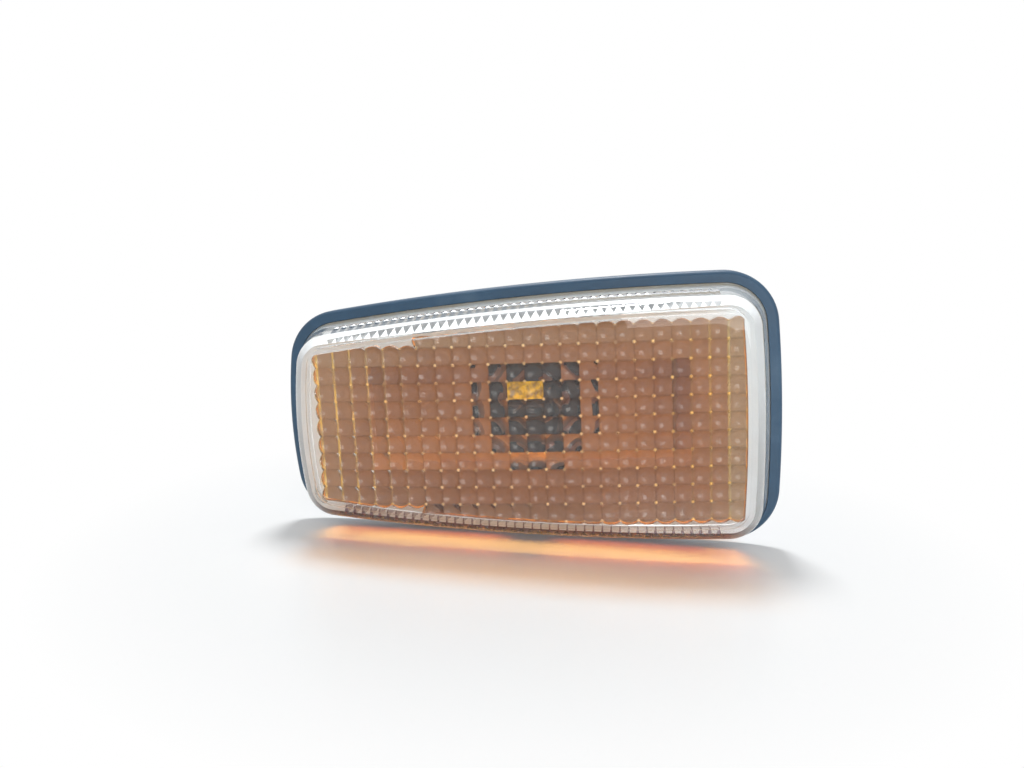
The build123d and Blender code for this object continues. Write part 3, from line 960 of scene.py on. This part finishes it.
def grown(name, base, lay, material, values):
    """The plain mesh that a node tree makes of a base mesh with these values, with its faces turned outward."""
    tree, names = new_tree(name, values)
    lay(tree, material)
    carrier = bpy.data.objects.new(name, base)
    bpy.context.scene.collection.objects.link(carrier)
    modifier = carrier.modifiers.new(name, "NODES")
    modifier.node_group = tree
    for label, value in values.items():
        modifier[names[label]] = value
    evaluated = carrier.evaluated_get(bpy.context.evaluated_depsgraph_get())
    mesh = bpy.data.meshes.new_from_object(evaluated)
    bpy.data.objects.remove(carrier)
    bpy.data.meshes.remove(base)
    if not mesh.polygons:
        raise RuntimeError(name + " came out empty")
    mesh.name = name
    mesh.materials.clear()
    bm = bmesh.new()
    bm.from_mesh(mesh)
    bmesh.ops.recalc_face_normals(bm, faces=bm.faces)
    bm.to_mesh(mesh)
    bm.free()
    return mesh


class REPEATER_OT_amber_insert(Operator):
    """Amber insert with ball pillows on its back and scallops on its free sides"""

    bl_idname = "repeater.amber_insert"
    bl_label = "Amber insert"

    def execute(self, context):
        settings = context.scene.repeater
        lens, insert, finish = settings.lens, settings.insert, settings.finish
        amber = amber_acrylic(finish, insert)
        values = {
            "Pitch": insert.pitch,
            "Scallop": insert.scallop,
            "Ball Radius": insert.ball,
            "Rise": insert.rise,
            "Thickness": insert.thickness,
            "Front Radius": lens.crown - lens.face_wall - insert.gap,
            "Axis Depth": lens.crown - lens.front,
            "Inset": insert.inset,
            "Long Radius": lens.long_radius,
            "Long Level": lens.level_x,
            "Long Drop": long_drop(lens),
            "Tall Radius": lens.tall_radius,
            "Tall Centre": lens.reach / 2 - lens.tall_radius,
            "Steps": insert.steps,
        }
        mesh = grown("optic_insert", insert_cells(lens, insert), lay_pillows, amber, values)
        for face in mesh.polygons:
            face.material_index = 1 if face.normal.y < SEAM_LIMIT else 0
        finish_mesh("optic_insert", mesh, (amber, bonded_seam(finish)), "amber_lens", 20)
        return {"FINISHED"}


# Gasket

class REPEATER_OT_gasket(Operator):
    """Rubber gasket with a rounded lip round the lens foot"""

    bl_idname = "repeater.gasket"
    bl_label = "Gasket"

    def execute(self, context):
        settings = context.scene.repeater
        lens, gasket = settings.lens, settings.gasket
        lip = lamp_outline(lens, gasket.overhang, gasket.overhang, gasket.low_overhang)
        rim = lamp_outline(lens)
        edge = gasket.edge
        rings = [ring_at(lip, 0.0, 0.0), ring_at(lip, 0.0, -lens.foot + edge)]
        rings += [ring_at(lip, edge * (1 - c), -lens.foot + edge * (1 - s)) for c, s in quarter(LIP_STEPS)]
        rings += [
            ring_at(rim, -gasket.clearance, -lens.foot),
            ring_at(rim, -gasket.clearance, -gasket.pad),
            ring_at(rim, gasket.opening, -gasket.pad),
            ring_at(rim, gasket.opening, 0.0),
        ]
        mesh = loft("rubber_gasket", rings, closed=True)
        finish_mesh("rubber_gasket", mesh, [gasket_rubber(settings.finish)], "gasket", 40)
        return {"FINISHED"}


# Bulb

def turned(name, profile):
    """A closed shell turned round the bulb's axis, with flat or pointed ends at the profile's end depths."""
    (_, first), *line, (_, last) = profile
    rings = [[Vector((r * c, y, r * s)) for c, s in around(GLASS_SIDES)] for r, y in line]
    return loft(name, rings, (0, first, 0), (0, last, 0))


def glass_profile(bulb, wall):
    """Radii and depths of the glass at a distance inside its outer face, from its tip to its shoulder."""
    middle = bulb.tip + bulb.diameter / 2
    radius = bulb.diameter / 2 - wall
    draw = bulb.shoulder_radius
    line = [(0.0, bulb.tip + wall)]
    line += [(radius * s, middle - radius * c) for c, s in quarter(DOME_STEPS)]
    line.append((radius, bulb.shoulder))
    for c, s in quarter(SHOULDER_STEPS):
        line.append((radius - draw * (1 - c), bulb.shoulder + (draw - wall) * s))
    line.append((0.0, line[-1][1]))
    return line


def soft_block(name, low, high, edge):
    """A block with rounded edges between two corners."""
    low, high = Vector(low), Vector(high)
    bm = bmesh.new()
    place = Matrix.Translation((high + low) / 2) @ Matrix.Diagonal(high - low).to_4x4()
    bmesh.ops.create_cube(bm, size=1.0, matrix=place)
    bmesh.ops.bevel(bm, geom=bm.edges, offset=edge, segments=3, profile=0.5, affect="EDGES")
    return mesh_of(bm, name)


def joined(name, meshes):
    """One mesh out of several."""
    bm = bmesh.new()
    for mesh in meshes:
        bm.from_mesh(mesh)
        bpy.data.meshes.remove(mesh)
    return mesh_of(bm, name, outward=False)


def wire_along(name, points, radius):
    """A round wire along a bent line, with flat ends."""
    first = Vector((1, 0, 0))
    rings = []
    for i, point in enumerate(points):
        ahead = (points[min(i + 1, len(points) - 1)] - points[max(i - 1, 0)]).normalized()
        second = ahead.cross(first)
        rings.append([point + (first * c + second * s) * radius for c, s in around(WIRE_SIDES)])
    return loft(name, rings, points[0], points[-1])


def lead_points(bulb, side):
    """The bent line of a lead: out of the coil, through the pinch and folded back on the wedge."""
    x = bulb.lead_spacing / 2
    radius = bulb.lead / 2
    off = bulb.wedge_thickness / 2 + radius
    bend = off / 2
    turn_start = bulb.base + radius - bend
    front = bulb.coil_depth - bulb.lead_reach
    run = (turn_start - front) / STRAIGHT_STEPS
    points = [Vector((x, front + run * step, 0)) for step in range(STRAIGHT_STEPS + 1)]
    for step in range(1, BEND_STEPS):
        turn = math.pi * step / BEND_STEPS
        points.append(Vector((x, turn_start + bend * math.sin(turn), bend - bend * math.cos(turn))))
    run = (bulb.lead_fold - bend) / FOLD_STEPS
    points += [Vector((x, turn_start - run * step, off)) for step in range(FOLD_STEPS + 1)]
    return points if side > 0 else [Vector((-p.x, p.y, -p.z)) for p in points]


def wind_coil(tree, material):
    """Geometry nodes that wind the filament from a helix."""
    graph = Graph(tree)
    given = graph.outputs("NodeGroupInput")
    spiral = {
        "Resolution": COIL_STEPS,
        "Rotations": given["Turns"],
        "Start Radius": given["Radius"],
        "End Radius": given["Radius"],
        "Height": given["Length"],
    }
    helix = graph.output("GeometryNodeCurveSpiral", spiral)
    ring = {"Resolution": COIL_SIDES, "Radius": given["Wire Radius"]}
    section = graph.output("GeometryNodeCurvePrimitiveCircle", ring)
    inputs = {"Curve": helix, "Profile Curve": section, "Fill Caps": True}
    tube = graph.output("GeometryNodeCurveToMesh", inputs)
    shift = graph.output("ShaderNodeCombineXYZ", {"X": given["Length"] * -0.5, "Y": given["Depth"]})
    inputs = {"Geometry": tube, "Translation": shift, "Rotation": (0.0, math.pi / 2, 0.0)}
    close_tree(graph, graph.output("GeometryNodeTransform", inputs), material)


class REPEATER_OT_bulb(Operator):
    """Wedge-base bulb: drawn glass, its two leads and the wound filament"""

    bl_idname = "repeater.bulb"
    bl_label = "Bulb"

    def execute(self, context):
        settings = context.scene.repeater
        bulb, finish = settings.bulb, settings.finish
        outer = glass_profile(bulb, 0.0)
        glass = turned("glass", outer)
        hollow = turned("hollow", glass_profile(bulb, bulb.wall))
        hollow.flip_normals()
        half, thick = bulb.wedge_width / 2, bulb.wedge_thickness / 2
        low = (-half, outer[-1][1] + bulb.wedge_gap, -thick)
        wedge = soft_block("wedge", low, (half, bulb.base, thick), bulb.wedge_edge)
        mesh = joined("bulb_envelope", [glass, hollow, wedge])
        finish_mesh("bulb_envelope", mesh, [bulb_clear_glass(finish)], "bulb_glass", 40)

        metal = drawn_metal("lead_nickel_iron", finish.wire, 0.28, (1.0, 0.08, 1.0))
        for side, node in ((-1, "lead_left"), (1, "lead_right")):
            mesh = wire_along(node + "_wire", lead_points(bulb, side), bulb.lead / 2)
            finish_mesh(node + "_wire", mesh, [metal], node, 50)

        tungsten = drawn_metal("filament_tungsten", finish.filament, 0.4, (1.0, 1.0, 1.0))
        values = {
            "Turns": float(bulb.coil_turns),
            "Radius": (bulb.coil - bulb.coil_wire) / 2,
            "Length": bulb.lead_spacing - bulb.lead,
            "Wire Radius": bulb.coil_wire / 2,
            "Depth": bulb.coil_depth,
        }
        mesh = grown("filament_coil", bpy.data.meshes.new("coil_seat"), wind_coil, tungsten, values)
        finish_mesh("filament_coil", mesh, [tungsten], "bulb_filament", 50)
        return {"FINISHED"}


# Finishes of the solids that show as they are

class REPEATER_OT_back(Operator):
    """Finishes of the housing, the bulb holder, its seal and its contacts"""

    bl_idname = "repeater.back"
    bl_label = "Housing and holder"

    def execute(self, context):
        finish = context.scene.repeater.finish
        pale, warm = finish.housing, finish.housing_light
        brass = drawn_metal("contact_tinned_brass", finish.contact, 0.26, (1.0, 0.06, 1.0))
        finishes = {
            "housing": moulded("housing_polypropylene", pale, 0.04, 0.42, 900.0, 0.12, warm),
            "bulb_holder": moulded("holder_nylon", finish.holder, 0.22, 0.46, 1300.0, 0.2),
            "holder_seal": moulded("seal_rubber", finish.seal, 0.2, 0.62, 1600.0, 0.25),
            "contact_left": brass,
            "contact_right": brass,
        }
        for node, material in finishes.items():
            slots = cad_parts[node].material_slots
            if not slots:
                raise RuntimeError(node + " has no material slot")
            for slot in slots:
                slot.material = material
        return {"FINISHED"}


# Stage

def table_finish(tone, stage):
    """Pale table that keeps the lamp's shadow and runs out to plain white."""
    nodes = Surface("pale_table")
    paint = nodes.uneven(nodes.noise(6.0, 3.0), tone, 0.99)
    table = nodes.output("ShaderNodeBsdfPrincipled", {"Base Color": paint, "Roughness": 0.32})
    white = nodes.output("ShaderNodeEmission", {"Color": full(WHITE), "Strength": 1.0})
    away = nodes.output("ShaderNodeVectorMath", {0: nodes.place}, "Value", operation="LENGTH")
    share = nodes.span(away, stage.fade_start, stage.fade_end) * nodes.seen()
    return nodes.close(nodes.output("ShaderNodeMixShader", {0: share, 1: table, 2: white}))


def soft_lamp(name, place, size, strength):
    """A square soft box that faces the lamp's middle."""
    light = bpy.data.lights.new(name, "AREA")
    light.size = size
    light.energy = strength
    lamp = bpy.data.objects.new(name, light)
    lamp.location = place
    lamp.rotation_euler = (-Vector(place)).to_track_quat("-Z", "Y").to_euler()
    bpy.context.scene.collection.objects.link(lamp)


def set_camera(scene, stage):
    """A camera at the photograph's angle."""
    camera = bpy.data.cameras.new("photo_camera")
    camera.sensor_width = 36.0
    camera.lens = stage.lens
    camera.clip_start = 0.001
    back = -Vector(stage.aim).normalized()
    right = Vector(stage.up).cross(back).normalized()
    eye = bpy.data.objects.new("photo_camera", camera)
    eye.location = stage.eye
    eye.rotation_euler = Matrix((right, back.cross(right), back)).transposed().to_euler()
    scene.collection.objects.link(eye)
    scene.camera = eye


def set_sky(scene, stage):
    """Soft surrounding light that shows as plain white."""
    world = bpy.data.worlds.new("pale_room")
    world.use_nodes = True
    world.node_tree.nodes.clear()
    graph = Graph(world.node_tree)
    seen = graph.seen()
    tint = graph.mix(seen, stage.sky_tint, WHITE)
    strength = graph.span(seen, 0.0, 1.0, stage.sky, 1.0)
    sky = graph.output("ShaderNodeBackground", {"Color": tint, "Strength": strength})
    graph.node("ShaderNodeOutputWorld", {"Surface": sky})
    scene.world = world


def table_mesh(settings):
    """A flat grid that touches the gasket's lower side."""
    lens, stage = settings.lens, settings.stage
    slope, level = math.sin(stage.tilt), math.cos(stage.tilt)
    size = lens.long_radius + settings.gasket.low_overhang
    touch = Vector((lens.level_x - size * slope, 0, long_drop(lens) - size * level))
    reaches = [(2 * step / FLOOR_STEPS - 1) * stage.floor_size for step in range(FLOOR_STEPS + 1)]
    points = [touch + Vector((level * x, y, -slope * x)) for x in reaches for y in reaches]
    row = FLOOR_STEPS + 1
    firsts = [i * row + j for i in range(FLOOR_STEPS) for j in range(FLOOR_STEPS)]
    mesh = bpy.data.meshes.new("table")
    mesh.from_pydata(points, [], [(i, i + row, i + row + 1, i + 1) for i in firsts])
    mesh.materials.append(table_finish(settings.finish.floor, stage))
    return mesh


class REPEATER_OT_stage(Operator):
    """Camera, pale floor, surrounding light and two soft boxes"""

    bl_idname = "repeater.stage"
    bl_label = "Stage"

    def execute(self, context):
        scene = context.scene
        stage = scene.repeater.stage
        scene.view_settings.view_transform = "Standard"
        set_camera(scene, stage)
        table = bpy.data.objects.new("table", table_mesh(scene.repeater))
        scene.collection.objects.link(table)
        set_sky(scene, stage)
        soft_lamp("top_box", stage.top_place, stage.top_size, stage.top_light)
        soft_lamp("front_box", stage.front_place, stage.front_size, stage.front_light)
        return {"FINISHED"}


class REPEATER_PT_panel(Panel):
    """Steps that build the lamp"""

    bl_idname = "REPEATER_PT_panel"
    bl_label = "Side Repeater Lamp"
    bl_space_type = "VIEW_3D"
    bl_region_type = "UI"
    bl_category = "Repeater"

    def draw(self, context):
        for step in STEPS:
            self.layout.operator(step.bl_idname)
        settings = context.scene.repeater
        for part in settings.__annotations__:
            group = getattr(settings, part)
            box = self.layout.box()
            for name in group.__annotations__:
                box.prop(group, name)


STEPS = (
    REPEATER_OT_outer_lens,
    REPEATER_OT_amber_insert,
    REPEATER_OT_gasket,
    REPEATER_OT_bulb,
    REPEATER_OT_back,
    REPEATER_OT_stage,
)
GROUPS = (LensSizes, InsertSizes, GasketSizes, BulbSizes, Finishes, StageSettings, RepeaterSettings)


def register():
    for kind in GROUPS + STEPS + (REPEATER_PT_panel,):
        bpy.utils.register_class(kind)
    bpy.types.Scene.repeater = PointerProperty(type=RepeaterSettings)


def unregister():
    del bpy.types.Scene.repeater
    for kind in reversed(GROUPS + STEPS + (REPEATER_PT_panel,)):
        bpy.utils.unregister_class(kind)


def main():
    register()
    bpy.ops.repeater.outer_lens()
    bpy.ops.repeater.amber_insert()
    bpy.ops.repeater.gasket()
    bpy.ops.repeater.bulb()
    bpy.ops.repeater.back()
    bpy.ops.repeater.stage()


if __name__ == "__main__":
    main()
